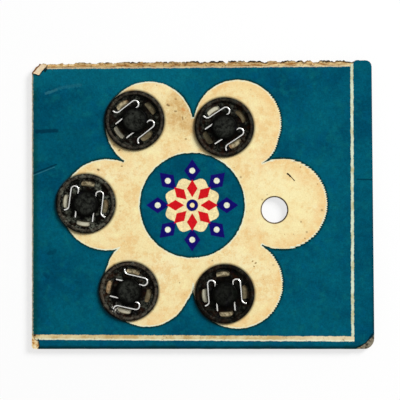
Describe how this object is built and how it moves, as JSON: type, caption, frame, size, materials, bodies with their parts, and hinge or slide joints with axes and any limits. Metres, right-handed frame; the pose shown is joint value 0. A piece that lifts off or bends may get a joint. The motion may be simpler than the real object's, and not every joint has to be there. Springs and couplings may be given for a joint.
{
  "type": "card of snap fasteners",
  "caption": "Torn pasteboard card with a printed flower ring, carrying black sew-on snap fasteners closed through its punched holes, each a sprung socket over a ball stud.",
  "frame": {"origin": "under the middle of the card, on the surface that the studs lie on", "axes": "+X to the card's right and +Y to its torn top edge as the print is read, +Z out of the printed face"},
  "size_m": [0.0734, 0.062, 0.0033],
  "materials": {
    "printed_card": "matt printed paper on pulp board, soiled and torn",
    "black_enamel": "worn black japanned sheet metal",
    "spring_wire": "bright drawn wire"
  },
  "bodies": {
    "root": {"card": "printed_card", "upper_right_socket": "black_enamel", "upper_right_stud": "black_enamel", "upper_right_spring_a": "spring_wire", "upper_right_spring_b": "spring_wire", "upper_left_socket": "black_enamel", "upper_left_stud": "black_enamel", "upper_left_spring_a": "spring_wire", "upper_left_spring_b": "spring_wire", "left_socket": "black_enamel", "left_stud": "black_enamel", "left_spring_a": "spring_wire", "left_spring_b": "spring_wire", "lower_left_socket": "black_enamel", "lower_left_stud": "black_enamel", "lower_left_spring_a": "spring_wire", "lower_left_spring_b": "spring_wire", "lower_right_socket": "black_enamel", "lower_right_stud": "black_enamel", "lower_right_spring_a": "spring_wire", "lower_right_spring_b": "spring_wire"}
  },
  "joints": []
}
